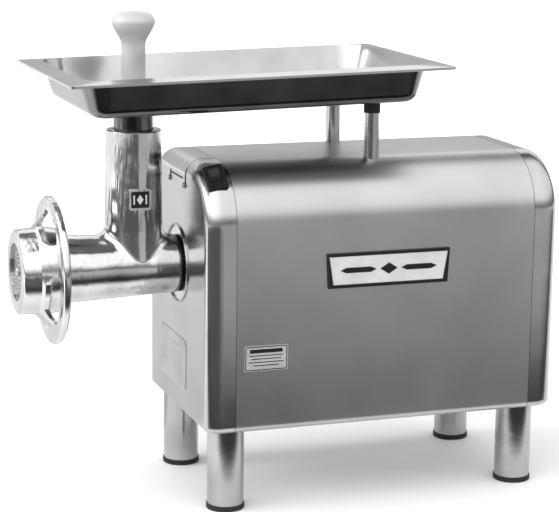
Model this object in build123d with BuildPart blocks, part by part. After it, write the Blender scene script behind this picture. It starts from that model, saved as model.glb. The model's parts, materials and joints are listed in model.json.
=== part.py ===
from build123d import *
from math import acos, cos, degrees, pi, radians, sin, sqrt, tan
import os

os.makedirs("parts", exist_ok=True)

# Electric meat grinder. Millimetres. X runs along the grinding axis from the
# outlet (-X) to the back of the casing (+X), the badge side faces -Y, Z is up.
# The origin is on the table, under the middle of the whole machine.

# Driving dimensions
CASE_FRONT = -136.0
CASE_BACK = 351.0
CASE_WIDTH = 271.0
CASE_BOTTOM = 107.0
CASE_TOP = 449.0
TOP_RADIUS = 76.0
LOW_RADIUS = 10.0
SEAM_FRONT = -97.0
SEAM_BACK = 315.0
SEAM_GAP = 0.6
SKIN = 1.5
CAP_ROUND = 22.0
CAP_SIDE_ROUND = 14.0

AXIS_Z = 306.0
OUTLET_X = -351.0
NECK_X = -194.5
NECK_TOP = 485.6
THROAT_RADIUS = 26.0
BORE_RADIUS = 32.0
HUB_HOLE_RADIUS = 50.0
PLATE_RADIUS = 41.0
PLATE_THICK = 9.5

LEG_RADIUS = 23.9
LEG_XS = (-100.0, 311.0)
LEG_Y = 102.6
LEG_WALL = 2.0
LEG_BOLT_RADIUS = 6.0
FOOT_HEIGHT = 7.0
leg_places = [(x, y) for x in LEG_XS for y in (-LEG_Y, LEG_Y)]

PAN_RIM_Z = 566.0
PAN_TILT = 1.3
PAN_DEPTH = 50.0
PAN_SHEET = 1.2
PAN_LEFT = -118.5
PAN_RIGHT = 382.5
PAN_WIDTH = 311.0
PAN_FLANGE = 22.0
PAN_DRAFT = 16.7
PAN_CORNER = 34.0
PAN_FLOOR_BLEND = 16.0
POST_X = 106.5
POST_Y = 71.0
POST_RADIUS = 9.8
POST_STUD_RADIUS = 5.0

GEAR_TEETH = 54
PINION_TEETH = 18
SLOW_MODULE = 2.25
FAST_MODULE = 1.75
BACKLASH = 0.35
MOTOR_Z = 198.0
MOTOR_RADIUS = 76.0

HALF = CASE_WIDTH / 2
SHAFT_RADIUS = 17.5
RUN_FIT = 0.05


def finish(part, label):
    """Name a finished piece and write its own STEP file."""
    part.label = label
    export_step(part, f"parts/{label}.step")


def case_section(x, side, top, low):
    """Upright outline of the casing at x, drawn in by side, top and low."""
    height = CASE_TOP - CASE_BOTTOM - top - low
    with BuildSketch(Plane.YZ.offset(x)) as section:
        with Locations((0, CASE_BOTTOM + low + height / 2)):
            Rectangle(CASE_WIDTH - 2 * side, height)
        fillet(section.vertices().group_by(Axis.Y)[-1], TOP_RADIUS - (side + top) / 2)
        fillet(section.vertices().group_by(Axis.Y)[0], max(LOW_RADIUS - (side + low) / 2, 1.5))
    return section.sketch


def cap_solid(seam, face, inset):
    """Solid end cap between its seam and its face, inset below the outer skin."""
    out = 1 if face > seam else -1
    with BuildPart(mode=Mode.PRIVATE) as cap:
        start = face - out * CAP_ROUND
        extrude(case_section(seam, inset, inset, inset), amount=(start - seam))
        steps = 6
        rings = []
        for k in range(steps + 1):
            turn = k * pi / 2 / steps
            grow = 1 - cos(turn)
            rings.append(
                case_section(
                    start + out * (CAP_ROUND - inset) * sin(turn),
                    inset + (CAP_SIDE_ROUND - inset) * grow,
                    inset + (CAP_ROUND - inset) * grow,
                    inset + (LOW_RADIUS - 2 - inset) * grow,
                )
            )
        loft(rings)
    return cap.part


def involute(angle):
    return tan(angle) - angle


def gear_face(teeth, module, phase, centre, x):
    """Spur gear outline with 20 degree involute flanks, on the YZ plane at x."""
    pitch = teeth * module / 2
    base = pitch * cos(radians(20))
    root = pitch - 1.25 * module
    tip = pitch + 0.95 * module
    step = 2 * pi / teeth

    def half_angle(radius):
        flank = acos(min(base / max(radius, base), 1))
        return pi / (2 * teeth) + involute(radians(20)) - involute(flank) - BACKLASH / 2 / pitch

    def at(radius, angle):
        return (centre[0] + radius * cos(angle), centre[1] + radius * sin(angle))

    middle = (max(root, base) + tip) / 2
    with BuildSketch(Plane.YZ.offset(x)) as gear:
        with BuildLine():
            for k in range(teeth):
                mid = radians(phase) + k * step
                foot, waist, crest = half_angle(root), half_angle(middle), half_angle(tip)
                ThreePointArc(at(root, mid - foot), at(middle, mid - waist), at(tip, mid - crest))
                Line(at(tip, mid - crest), at(tip, mid + crest))
                ThreePointArc(at(tip, mid + crest), at(middle, mid + waist), at(root, mid + foot))
                Line(at(root, mid + foot), at(root, mid + step - foot))
        make_face()
    return gear.sketch


def mesh_phase(own_phase, own_teeth, toward, other_teeth):
    """Phase of the second gear that puts a tooth space where the first has a tooth."""
    share = (toward - own_phase) / (360 / own_teeth)
    return toward + 180 - 360 / other_teeth * (0.5 - share)


# Shaft centres in the YZ plane: output above, motor below, countershaft beside.
SLOW_REACH = (GEAR_TEETH + PINION_TEETH) * SLOW_MODULE / 2
FAST_REACH = (GEAR_TEETH + PINION_TEETH) * FAST_MODULE / 2
DROP = AXIS_Z - MOTOR_Z
COUNTER_DROP = (SLOW_REACH**2 - FAST_REACH**2 + DROP**2) / (2 * DROP)
COUNTER_Z = AXIS_Z - COUNTER_DROP
COUNTER_Y = sqrt(SLOW_REACH**2 - COUNTER_DROP**2)
OUTPUT = (0, AXIS_Z)
COUNTER = (COUNTER_Y, COUNTER_Z)
MOTOR = (0, MOTOR_Z)

# ---------------------------------------------------------------- casing

post_places = [(POST_X, -POST_Y), (POST_X, POST_Y)]
POST_NUT_TOP = CASE_TOP - 4.8
with BuildPart() as casing_wrapper:
    wrap_start = SEAM_FRONT + SEAM_GAP / 2
    wrap_length = SEAM_BACK - SEAM_FRONT - SEAM_GAP
    extrude(case_section(wrap_start, 0, 0, 0), amount=wrap_length)
    extrude(case_section(wrap_start, SKIN, SKIN, SKIN), amount=wrap_length, mode=Mode.SUBTRACT)
    with BuildSketch(Plane.XY.offset(CASE_BOTTOM)):
        with Locations(((SEAM_FRONT + SEAM_BACK) / 2, 0)):
            Rectangle(wrap_length, CASE_WIDTH - 2 * LOW_RADIUS)
    extrude(amount=SKIN, mode=Mode.SUBTRACT)
    with BuildSketch(Plane.XY.offset(CASE_TOP - 10)):
        with Locations(*post_places):
            Circle(POST_STUD_RADIUS + 0.05)
    extrude(amount=20, mode=Mode.SUBTRACT)
finish(casing_wrapper.part, "casing_wrapper")

# The switch sits across the near top corner of the front cap.
SWITCH_ARC = 55.0
SWITCH_LEAN = 14.0
switch_radial = Vector(0, -cos(radians(SWITCH_ARC)), sin(radians(SWITCH_ARC)))
switch_normal = switch_radial * cos(radians(SWITCH_LEAN)) - Vector(sin(radians(SWITCH_LEAN)), 0, 0)
switch_along = Vector(0, sin(radians(SWITCH_ARC)), cos(radians(SWITCH_ARC)))
switch_centre = (
    Vector(-116, -(HALF - TOP_RADIUS), CASE_TOP - TOP_RADIUS) + switch_radial * (TOP_RADIUS - 1.0)
)
switch_plane = Plane(
    origin=switch_centre, x_dir=switch_along.cross(switch_normal), z_dir=switch_normal
)
BEZEL_WIDTH = 27.0
BEZEL_LENGTH = 41.0
SWITCH_BASE = 9.0

SCREW_Y = 34.0
SCREW_Z = 414.5
SCREW_RADIUS = 1.9
SCREW_HEAD = 1.6
screw_places = [(-SCREW_Y, SCREW_Z), (SCREW_Y, SCREW_Z)]

# The flat floor of the casing runs between the two caps' rounded ends.
OPENING_X0 = CASE_FRONT + CAP_ROUND
OPENING_X1 = CASE_BACK - CAP_ROUND

with BuildPart() as front_cap:
    add(cap_solid(SEAM_FRONT - SEAM_GAP / 2, CASE_FRONT, 0))
    add(cap_solid(SEAM_FRONT - SEAM_GAP / 2, CASE_FRONT, SKIN), mode=Mode.SUBTRACT)
    with BuildSketch(Plane.XY.offset(CASE_BOTTOM)):
        with Locations(((OPENING_X0 + SEAM_FRONT) / 2, 0)):
            Rectangle(SEAM_FRONT - OPENING_X0, CASE_WIDTH - 2 * LOW_RADIUS)
    extrude(amount=SKIN, mode=Mode.SUBTRACT)
    with BuildSketch(Plane.YZ.offset(CASE_FRONT - 1)):
        with Locations(OUTPUT):
            Circle(HUB_HOLE_RADIUS)
    extrude(amount=6, mode=Mode.SUBTRACT)
    with BuildSketch(switch_plane.offset(-2.6)):
        RectangleRounded(BEZEL_WIDTH + 0.3, BEZEL_LENGTH + 0.3, 4)
    extrude(amount=20, mode=Mode.SUBTRACT)
    with BuildSketch(switch_plane.offset(-12)):
        RectangleRounded(BEZEL_WIDTH - 1, BEZEL_LENGTH - 1, 4)
    extrude(amount=20, mode=Mode.SUBTRACT)
    with BuildSketch(Plane.YZ.offset(CASE_FRONT - 1)):
        with Locations(*screw_places):
            Circle(SCREW_RADIUS + 0.1)
    extrude(amount=6, mode=Mode.SUBTRACT)
finish(front_cap.part, "front_cap")

VENT_PITCH = 14.0
VENT_COUNT = 7
VENT_Z = 235.0
GLAND_PLACE = (80, 135)
GLAND_RADIUS = 11.0
GLAND_BORE = 5.0
with BuildPart() as rear_cap:
    add(cap_solid(SEAM_BACK + SEAM_GAP / 2, CASE_BACK, 0))
    add(cap_solid(SEAM_BACK + SEAM_GAP / 2, CASE_BACK, SKIN), mode=Mode.SUBTRACT)
    with BuildSketch(Plane.XY.offset(CASE_BOTTOM)):
        with Locations(((OPENING_X1 + SEAM_BACK) / 2, 0)):
            Rectangle(OPENING_X1 - SEAM_BACK, CASE_WIDTH - 2 * LOW_RADIUS)
    extrude(amount=SKIN, mode=Mode.SUBTRACT)
    with BuildSketch(Plane.YZ.offset(CASE_BACK - 4)):
        with Locations((0, VENT_Z)):
            with GridLocations(0, VENT_PITCH, 1, VENT_COUNT):
                SlotOverall(120, 5)
        with Locations(GLAND_PLACE):
            Circle(GLAND_RADIUS + 0.2)
    extrude(amount=8, mode=Mode.SUBTRACT)
finish(rear_cap.part, "rear_cap")

BASE_THICK = 3.0
FLOOR_FIT = 0.4
with BuildPart() as base_plate:
    with BuildSketch(Plane.XY.offset(CASE_BOTTOM)):
        with Locations(((OPENING_X0 + OPENING_X1) / 2, 0)):
            RectangleRounded(
                OPENING_X1 - OPENING_X0 - FLOOR_FIT, CASE_WIDTH - 2 * LOW_RADIUS - FLOOR_FIT, 6
            )
        with Locations((150, 0)):
            with GridLocations(16, 0, 9, 1):
                SlotOverall(90, 6, rotation=90, mode=Mode.SUBTRACT)
        with Locations(*leg_places):
            Circle(LEG_BOLT_RADIUS + 0.2, mode=Mode.SUBTRACT)
    extrude(amount=BASE_THICK)
finish(base_plate.part, "base_plate")

BASE_TOP = CASE_BOTTOM + BASE_THICK

# The cover lies over the cap's top front edge, held by two ears.
COVER_HALF = 38.0
COVER_LOW = 427.0
COVER_THICK = 1.0
with BuildPart() as access_cover:
    add(cap_solid(SEAM_FRONT - 3, CASE_FRONT, -COVER_THICK))
    add(cap_solid(SEAM_FRONT - 2, CASE_FRONT, 0), mode=Mode.SUBTRACT)
    with BuildSketch(Plane.YZ.offset(CASE_FRONT - 5)):
        with Locations((0, COVER_LOW + 20)):
            RectangleRounded(2 * COVER_HALF, 40, 3)
        with Locations((-SCREW_Y, COVER_LOW - 6), (SCREW_Y, COVER_LOW - 6)):
            RectangleRounded(8, 21, 3.5)
    extrude(amount=60, mode=Mode.INTERSECT)
    with BuildSketch(Plane.YZ.offset(CASE_FRONT - 5)):
        with Locations(*screw_places):
            Circle(SCREW_RADIUS + 0.2)
    extrude(amount=10, mode=Mode.SUBTRACT)
finish(access_cover.part, "access_cover")

with BuildPart() as access_screws:
    with BuildSketch(Plane.YZ.offset(CASE_FRONT - COVER_THICK)):
        with Locations(*screw_places):
            Circle(3.4)
    extrude(amount=-SCREW_HEAD)
    fillet(access_screws.edges().group_by(Axis.X)[0], 0.9)
    with BuildSketch(Plane.YZ.offset(CASE_FRONT - COVER_THICK)):
        with Locations(*screw_places):
            Circle(SCREW_RADIUS)
    extrude(amount=9)
    with BuildSketch(Plane.YZ.offset(CASE_FRONT - COVER_THICK - SCREW_HEAD)):
        with Locations(*screw_places):
            Rectangle(7, 0.9)
    extrude(amount=0.8, mode=Mode.SUBTRACT)
finish(access_screws.part, "access_screws")

TRIM_WIDTH = 2.2
TRIM_THICK = 2.4
with BuildPart() as hub_trim_ring:
    with BuildSketch(Plane.YZ.offset(CASE_FRONT)):
        with Locations(OUTPUT):
            Circle(HUB_HOLE_RADIUS + TRIM_WIDTH)
            Circle(HUB_HOLE_RADIUS, mode=Mode.SUBTRACT)
    extrude(amount=-TRIM_THICK)
    fillet(hub_trim_ring.edges().group_by(Axis.X)[0], 0.9)
finish(hub_trim_ring.part, "hub_trim_ring")

DATA_PLACE = (17, 176)
DATA_WIDTH = 119.0
DATA_HEIGHT = 67.0
DATA_THICK = 0.8
RIVET_INSET = 5.0
with BuildPart() as data_plate:
    with BuildSketch(Plane.YZ.offset(CASE_FRONT)):
        with Locations(DATA_PLACE):
            RectangleRounded(DATA_WIDTH, DATA_HEIGHT, 3)
    extrude(amount=-DATA_THICK)
    with BuildSketch(Plane.YZ.offset(CASE_FRONT - DATA_THICK)):
        with Locations(DATA_PLACE):
            with GridLocations(DATA_WIDTH - 2 * RIVET_INSET, DATA_HEIGHT - 2 * RIVET_INSET, 2, 2):
                Circle(2)
    extrude(amount=-0.7)
finish(data_plate.part, "data_plate")

BADGE_X = 108.0
BADGE_Z = 313.0
BADGE_FRAME = (170.0, 165.0, 45.5)
BADGE_POCKET = (164.4, 152.4, 37.0)
BADGE_FIT = 0.6
BADGE_DEPTH = 3.0
BADGE_FLOOR = 1.2


def badge_outline(y, top, low, height):
    """Badge shape on the casing side, wider at the top than at the bottom."""
    with BuildSketch(Plane.XZ.offset(-y)) as face:
        with BuildLine():
            Polyline(
                (BADGE_X - top / 2, BADGE_Z + height / 2),
                (BADGE_X + top / 2, BADGE_Z + height / 2),
                (BADGE_X + low / 2, BADGE_Z - height / 2),
                (BADGE_X - low / 2, BADGE_Z - height / 2),
                close=True,
            )
        make_face()
    return face.sketch


with BuildPart() as badge_frame:
    extrude(badge_outline(-HALF, *BADGE_FRAME), amount=BADGE_DEPTH)
    extrude(
        badge_outline(-HALF - BADGE_FLOOR, *BADGE_POCKET),
        amount=BADGE_DEPTH - BADGE_FLOOR,
        mode=Mode.SUBTRACT,
    )
finish(badge_frame.part, "badge_frame")

with BuildPart() as badge_plate:
    plate_outline = [size - BADGE_FIT for size in BADGE_POCKET]
    extrude(badge_outline(-HALF - BADGE_FLOOR, *plate_outline), amount=1.2)
finish(badge_plate.part, "badge_plate")

LABEL_PLACE = (-57, 205)
with BuildPart() as side_label:
    with BuildSketch(Plane.XZ.offset(HALF)):
        with Locations(LABEL_PLACE):
            RectangleRounded(58, 33, 1)
    extrude(amount=0.5)
finish(side_label.part, "side_label")

# ---------------------------------------------------------------- switch

with BuildPart() as switch_bezel:
    with BuildSketch(switch_plane.offset(-2.5)):
        RectangleRounded(BEZEL_WIDTH, BEZEL_LENGTH, 4)
    extrude(amount=5.5, taper=8)
    with BuildSketch(switch_plane.offset(-SWITCH_BASE)):
        RectangleRounded(BEZEL_WIDTH - 1.4, BEZEL_LENGTH - 1.4, 3.6)
    extrude(amount=SWITCH_BASE - 2.5)
    with BuildSketch(switch_plane.offset(-SWITCH_BASE)):
        Rectangle(15, 30)
    extrude(amount=14, mode=Mode.SUBTRACT)
finish(switch_bezel.part, "switch_bezel")

# The rocker turns about a pin across the bezel, 3 mm below the switch plane.
ROCKER_DROP = 3.0
ROCKER_REST = 9.0
ROCKER_WIDTH = 14.0
rocker_axle = switch_plane.offset(-ROCKER_DROP)
rest_angle = radians(ROCKER_REST)
rocker_along = switch_plane.y_dir * cos(rest_angle) + switch_plane.z_dir * sin(rest_angle)
rocker_side = Plane(
    origin=rocker_axle.origin - switch_plane.x_dir * ROCKER_WIDTH / 2,
    x_dir=rocker_along,
    z_dir=switch_plane.x_dir,
)
with BuildPart() as switch_rocker:
    with BuildSketch(rocker_side) as rocker_face:
        with BuildLine():
            Line((-12.6, 0.6), (-12.6, 8.8))
            ThreePointArc((-12.6, 8.8), (0, 4.6), (12.6, 8.8))
            Line((12.6, 8.8), (12.6, 0.6))
            ThreePointArc((12.6, 0.6), (0, -4.5), (-12.6, 0.6))
        make_face()
        fillet(rocker_face.vertices().group_by(Axis.Y)[-1], 0.8)
    extrude(amount=ROCKER_WIDTH)
finish(switch_rocker.part, "switch_rocker")

SWITCH_BODY_DEPTH = 22.0
with BuildPart() as switch_body:
    with BuildSketch(switch_plane.offset(-SWITCH_BASE)):
        RectangleRounded(22, 36, 2)
    extrude(amount=-SWITCH_BODY_DEPTH)
    with BuildSketch(switch_plane.offset(-SWITCH_BASE - SWITCH_BODY_DEPTH)):
        with GridLocations(10, 12, 2, 2):
            Rectangle(0.8, 6)
    extrude(amount=-8)
finish(switch_body.part, "switch_body")

# ---------------------------------------------------------------- legs and feet

# Each leg is a tube with a bored plug welded in its top, and a rubber foot pushed in its end.
LEG_PLUG = 10.0
FOOT_PLUG = 16.0
FOOT_RADIUS = LEG_RADIUS + 1.1
HEX_NUT_RADIUS = 9.5
HEX_NUT_HEIGHT = 8.0
for number, leg_place in enumerate(leg_places, start=1):
    with BuildPart() as leg:
        with BuildSketch(Plane.XY.offset(FOOT_HEIGHT)):
            with Locations(leg_place):
                Circle(LEG_RADIUS)
                Circle(LEG_RADIUS - LEG_WALL, mode=Mode.SUBTRACT)
        extrude(amount=CASE_BOTTOM - FOOT_HEIGHT)
        with BuildSketch(Plane.XY.offset(CASE_BOTTOM)):
            with Locations(leg_place):
                Circle(LEG_RADIUS - LEG_WALL / 2)
                Circle(LEG_BOLT_RADIUS, mode=Mode.SUBTRACT)
        extrude(amount=-LEG_PLUG)
    finish(leg.part, f"leg_{number}")

    with BuildPart() as foot:
        with BuildSketch(Plane.XY):
            with Locations(leg_place):
                Circle(FOOT_RADIUS)
        extrude(amount=FOOT_HEIGHT)
        fillet(foot.edges().group_by(Axis.Z)[0], 1.5)
        with BuildSketch(Plane.XY.offset(FOOT_HEIGHT)):
            with Locations(leg_place):
                Circle(LEG_RADIUS - LEG_WALL)
        extrude(amount=FOOT_PLUG)
    finish(foot.part, f"foot_{number}")

with BuildPart() as leg_bolts:
    with BuildSketch(Plane.XY.offset(BASE_TOP)):
        with Locations(*leg_places):
            RegularPolygon(HEX_NUT_RADIUS, 6)
    extrude(amount=HEX_NUT_HEIGHT)
    with BuildSketch(Plane.XY.offset(BASE_TOP)):
        with Locations(*leg_places):
            Circle(LEG_BOLT_RADIUS - 0.1)
    extrude(amount=-2 * LEG_PLUG)
finish(leg_bolts.part, "leg_bolts")

# ---------------------------------------------------------------- feed pan

tilt = radians(PAN_TILT)
pan_plane = Plane(
    origin=(NECK_X, 0, PAN_RIM_Z), x_dir=(cos(tilt), 0, sin(tilt)), z_dir=(-sin(tilt), 0, cos(tilt))
)
PAN_MID = (PAN_LEFT + PAN_RIGHT) / 2
PAN_LENGTH = PAN_RIGHT - PAN_LEFT
RIM_DROP = 2.6
HEM = 3.0
COLLAR_OUTER = 25.4
COLLAR_BORE = 24.2
COLLAR_X = -(PAN_DEPTH + 26) * tan(tilt)


def pan_rectangle(height, grow, radius):
    """Rounded rectangle round the pan's mouth, grow beyond the opening."""
    with BuildSketch(pan_plane.offset(height)) as face:
        with Locations((PAN_MID, 0)):
            RectangleRounded(
                PAN_LENGTH - 2 * PAN_FLANGE + 2 * grow, PAN_WIDTH - 2 * PAN_FLANGE + 2 * grow, radius
            )
    return face.sketch


with BuildPart() as pan_hollow:
    mouth = pan_rectangle(0, -PAN_SHEET, PAN_CORNER - PAN_SHEET)
    extrude(mouth, amount=-(PAN_DEPTH - PAN_SHEET), taper=PAN_DRAFT)
    fillet(pan_hollow.faces().sort_by(Axis.Z)[0].edges(), PAN_FLOOR_BLEND - PAN_SHEET)
    extrude(mouth, amount=4)

with BuildPart() as pan_block:
    extrude(pan_rectangle(0, 0, PAN_CORNER), amount=-PAN_DEPTH, taper=PAN_DRAFT)
    fillet(pan_block.faces().sort_by(Axis.Z)[0].edges(), PAN_FLOOR_BLEND)

with BuildPart() as feed_pan:
    loft([pan_rectangle(-RIM_DROP, PAN_FLANGE, 5), pan_rectangle(0, 0, PAN_CORNER)])
    loft(
        [
            pan_rectangle(-RIM_DROP - PAN_SHEET, PAN_FLANGE - PAN_SHEET, 4),
            pan_rectangle(-PAN_SHEET, -0.2, PAN_CORNER - 0.2),
        ],
        mode=Mode.SUBTRACT,
    )
    extrude(pan_rectangle(-RIM_DROP, PAN_FLANGE, 5), amount=-HEM)
    extrude(
        pan_rectangle(-RIM_DROP - PAN_SHEET / 2, PAN_FLANGE - PAN_SHEET, 4),
        amount=-HEM - 1,
        mode=Mode.SUBTRACT,
    )
    add(pan_block.part)
    add(pan_hollow.part, mode=Mode.SUBTRACT)
    with BuildSketch(pan_plane.offset(-PAN_DEPTH - 2)):
        with Locations((COLLAR_X, 0)):
            Circle(COLLAR_BORE)
    extrude(amount=8, mode=Mode.SUBTRACT)
finish(feed_pan.part, "feed_pan")

with BuildPart() as pan_collar:
    with BuildSketch(pan_plane.offset(-PAN_DEPTH)):
        with Locations((COLLAR_X, 0)):
            Circle(COLLAR_OUTER)
            Circle(COLLAR_BORE, mode=Mode.SUBTRACT)
    extrude(amount=-52)
finish(pan_collar.part, "pan_collar")

CAP_HEIGHT = 16.0
CAP_SOLID = 10.0
post_cap_top = PAN_RIM_Z - PAN_DEPTH * cos(tilt) + (POST_X - NECK_X - 14) * tan(tilt) - 0.4
post_top = post_cap_top - CAP_SOLID
POST_BOTTOM = CASE_TOP - 6
for side, name in ((-1, "near"), (1, "far")):
    with BuildPart() as post:
        with BuildSketch(Plane.XY.offset(POST_BOTTOM)):
            with Locations((POST_X, side * POST_Y)):
                Circle(POST_RADIUS)
        extrude(amount=post_top - POST_BOTTOM)
        extrude(case_section(POST_X - 20, 0, 0, 0), amount=40, mode=Mode.SUBTRACT)
        with BuildSketch(Plane.XY.offset(CASE_TOP - 20)):
            with Locations((POST_X, side * POST_Y)):
                Circle(POST_STUD_RADIUS)
        extrude(amount=24)
    finish(post.part, f"pan_post_{name}")

    with BuildPart() as post_cap:
        with BuildSketch(Plane.XY.offset(post_cap_top - CAP_HEIGHT)):
            with Locations((POST_X, side * POST_Y)):
                Circle(POST_RADIUS + 1)
        extrude(amount=CAP_HEIGHT)
        fillet(post_cap.edges().group_by(Axis.Z)[-1], 2)
        add(post.part, mode=Mode.SUBTRACT)
    finish(post_cap.part, f"post_cap_{name}")

with BuildPart() as post_nuts:
    with BuildSketch(Plane.XY.offset(POST_NUT_TOP)):
        with Locations(*post_places):
            RegularPolygon(HEX_NUT_RADIUS, 6)
            Circle(POST_STUD_RADIUS + 0.05, mode=Mode.SUBTRACT)
    extrude(amount=-HEX_NUT_HEIGHT)
finish(post_nuts.part, "post_nuts")

# ---------------------------------------------------------------- stomper

STOMPER_LOW = 340.0
STOMPER_TOP = 635.0
STOMPER_RADIUS = 15.5
HEAD_RADIUS = 22.8
HEAD_TOP = STOMPER_LOW + 26
SHANK_LOW = STOMPER_LOW + 60
SHANK_TOP = 592.0
KNOB_RADIUS = 28.0
KNOB_WIDEST = 622.0
with BuildPart() as stomper:
    with BuildSketch(Plane.XZ):
        with BuildLine():
            Polyline(
                (NECK_X, STOMPER_TOP),
                (NECK_X, STOMPER_LOW),
                (NECK_X + HEAD_RADIUS - 3, STOMPER_LOW),
                (NECK_X + HEAD_RADIUS, STOMPER_LOW + 3),
                (NECK_X + HEAD_RADIUS, HEAD_TOP),
            )
            Spline(
                (NECK_X + HEAD_RADIUS, HEAD_TOP),
                (NECK_X + STOMPER_RADIUS + 0.4, SHANK_LOW),
                tangents=((0, 1), (0, 1)),
            )
            Line((NECK_X + STOMPER_RADIUS + 0.4, SHANK_LOW), (NECK_X + STOMPER_RADIUS, SHANK_TOP))
            Spline(
                (NECK_X + STOMPER_RADIUS, SHANK_TOP),
                (NECK_X + 21.5, 608),
                (NECK_X + KNOB_RADIUS, KNOB_WIDEST),
                tangents=((0, 1), (0.25, 1)),
            )
            Spline(
                (NECK_X + KNOB_RADIUS, KNOB_WIDEST),
                (NECK_X + 26.4, 627.5),
                (NECK_X, STOMPER_TOP),
                tangents=((0.25, 1), (-1, 0)),
            )
        make_face()
    revolve(axis=Axis((NECK_X, 0, 0), (0, 0, 1)))
finish(stomper.part, "stomper")

# ---------------------------------------------------------------- grinding head

BARREL_FRONT = OUTLET_X + 5.5
PLATE_FRONT = OUTLET_X + 5.0
RECESS_BACK = -323.0
BOSS_RADIUS = 49.0
BOSS_BACK = -306.0
BARREL_FRONT_RADIUS = 44.6
BARREL_RADIUS = 38.0
SPIGOT_RADIUS = 37.5
GROOVE_START = CASE_FRONT - 4.0
GROOVE_RADIUS = 35.0
BARREL_BACK = -113.0
BORE_BACK = -133.0
NECK_RADIUS = 38.8
NECK_TAPER = 1.02
NECK_BLEND = 14.0
JOURNAL_RADIUS = 14.0
EMBLEM_PLACE = (NECK_X - 1.5, 399.0)
EMBLEM_WIDTH = 29.0
EMBLEM_HEIGHT = 27.0
EMBLEM_LIP = 2.5
EMBLEM_START = 34.0
EMBLEM_REACH = 38.6
EMBLEM_RECESS = 1.2
grind_axis = Axis((0, 0, AXIS_Z), (1, 0, 0))

with BuildPart() as grinding_cylinder:
    with BuildSketch(Plane.XZ):
        with BuildLine():
            Polyline(
                (BARREL_FRONT, AXIS_Z),
                (BARREL_FRONT, AXIS_Z + BOSS_RADIUS),
                (BOSS_BACK, AXIS_Z + BOSS_RADIUS),
                (BOSS_BACK + 6, AXIS_Z + BARREL_FRONT_RADIUS),
                (GROOVE_START, AXIS_Z + BARREL_RADIUS),
                (GROOVE_START, AXIS_Z + GROOVE_RADIUS),
                (CASE_FRONT, AXIS_Z + GROOVE_RADIUS),
                (CASE_FRONT, AXIS_Z + SPIGOT_RADIUS),
                (BARREL_BACK, AXIS_Z + SPIGOT_RADIUS),
                (BARREL_BACK, AXIS_Z),
                close=True,
            )
        make_face()
    revolve(axis=grind_axis)
    with BuildSketch(Plane.XY.offset(AXIS_Z)):
        with Locations((NECK_X, 0)):
            Circle(NECK_RADIUS)
    extrude(amount=NECK_TOP - AXIS_Z, taper=NECK_TAPER)
    # The hollow corner where the neck grows out of the barrel.
    blend_edges = grinding_cylinder.edges().filter_by(
        lambda edge: abs(edge.center().Z - AXIS_Z - 30) < 26
        and NECK_X - 45 < edge.center().X < NECK_X + 45
        and edge.bounding_box().size.Z > 12
        and edge.bounding_box().size.X > 20
    )
    fillet(blend_edges, NECK_BLEND)
    fillet(grinding_cylinder.edges().filter_by(GeomType.CIRCLE).group_by(Axis.Z)[-1], 2.5)
    with BuildSketch(Plane.YZ.offset(BARREL_FRONT)):
        with Locations(OUTPUT):
            Circle(PLATE_RADIUS + 0.15)
    extrude(amount=RECESS_BACK - BARREL_FRONT, mode=Mode.SUBTRACT)
    with BuildSketch(Plane.YZ.offset(RECESS_BACK)):
        with Locations(OUTPUT):
            Circle(BORE_RADIUS)
    extrude(amount=BORE_BACK - RECESS_BACK, mode=Mode.SUBTRACT)
    with BuildSketch(Plane.XY.offset(AXIS_Z)):
        with Locations((NECK_X, 0)):
            Circle(THROAT_RADIUS)
    extrude(amount=200, mode=Mode.SUBTRACT)
    with BuildSketch(Plane.YZ.offset(BORE_BACK - 2)):
        with Locations(OUTPUT):
            Circle(JOURNAL_RADIUS + RUN_FIT)
    extrude(amount=BARREL_BACK - BORE_BACK + 4, mode=Mode.SUBTRACT)
    with BuildSketch(Plane.XZ.offset(EMBLEM_START)):
        with Locations(EMBLEM_PLACE):
            RectangleRounded(EMBLEM_WIDTH, EMBLEM_HEIGHT, 3)
    extrude(amount=EMBLEM_REACH - EMBLEM_START)
    with BuildSketch(Plane.XZ.offset(EMBLEM_REACH - EMBLEM_RECESS)):
        with Locations(EMBLEM_PLACE):
            RectangleRounded(EMBLEM_WIDTH - 2 * EMBLEM_LIP, EMBLEM_HEIGHT - 2 * EMBLEM_LIP, 2)
    extrude(amount=2 * EMBLEM_RECESS, mode=Mode.SUBTRACT)
finish(grinding_cylinder.part, "grinding_cylinder")

HOLE_RADIUS = 1.6
HOLE_RINGS = ((12.5, 16), (17.5, 22), (22.5, 28), (27.5, 34), (32.5, 40))
STUD_RADIUS = 6.0
with BuildPart() as grinding_plate:
    with BuildSketch(Plane.YZ.offset(PLATE_FRONT)):
        with Locations(OUTPUT):
            Circle(PLATE_RADIUS)
            Circle(STUD_RADIUS + RUN_FIT, mode=Mode.SUBTRACT)
        with Locations(OUTPUT):
            for ring, count in HOLE_RINGS:
                with PolarLocations(ring, count):
                    Circle(HOLE_RADIUS, mode=Mode.SUBTRACT)
    extrude(amount=PLATE_THICK)
finish(grinding_plate.part, "grinding_plate")

KNIFE_FRONT = PLATE_FRONT + PLATE_THICK + 0.3
KNIFE_THICK = 9.0
KNIFE_WINGS = 4
KNIFE_SQUARE = 12.0
with BuildPart() as knife:
    with BuildSketch(Plane.YZ.offset(KNIFE_FRONT)):
        with Locations(OUTPUT):
            Circle(13)
            with PolarLocations(0, KNIFE_WINGS):
                with Locations((24, 0)):
                    Rectangle(27, 9)
            Rectangle(KNIFE_SQUARE + 0.2, KNIFE_SQUARE + 0.2, mode=Mode.SUBTRACT)
    extrude(amount=KNIFE_THICK)
finish(knife.part, "knife")

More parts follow.
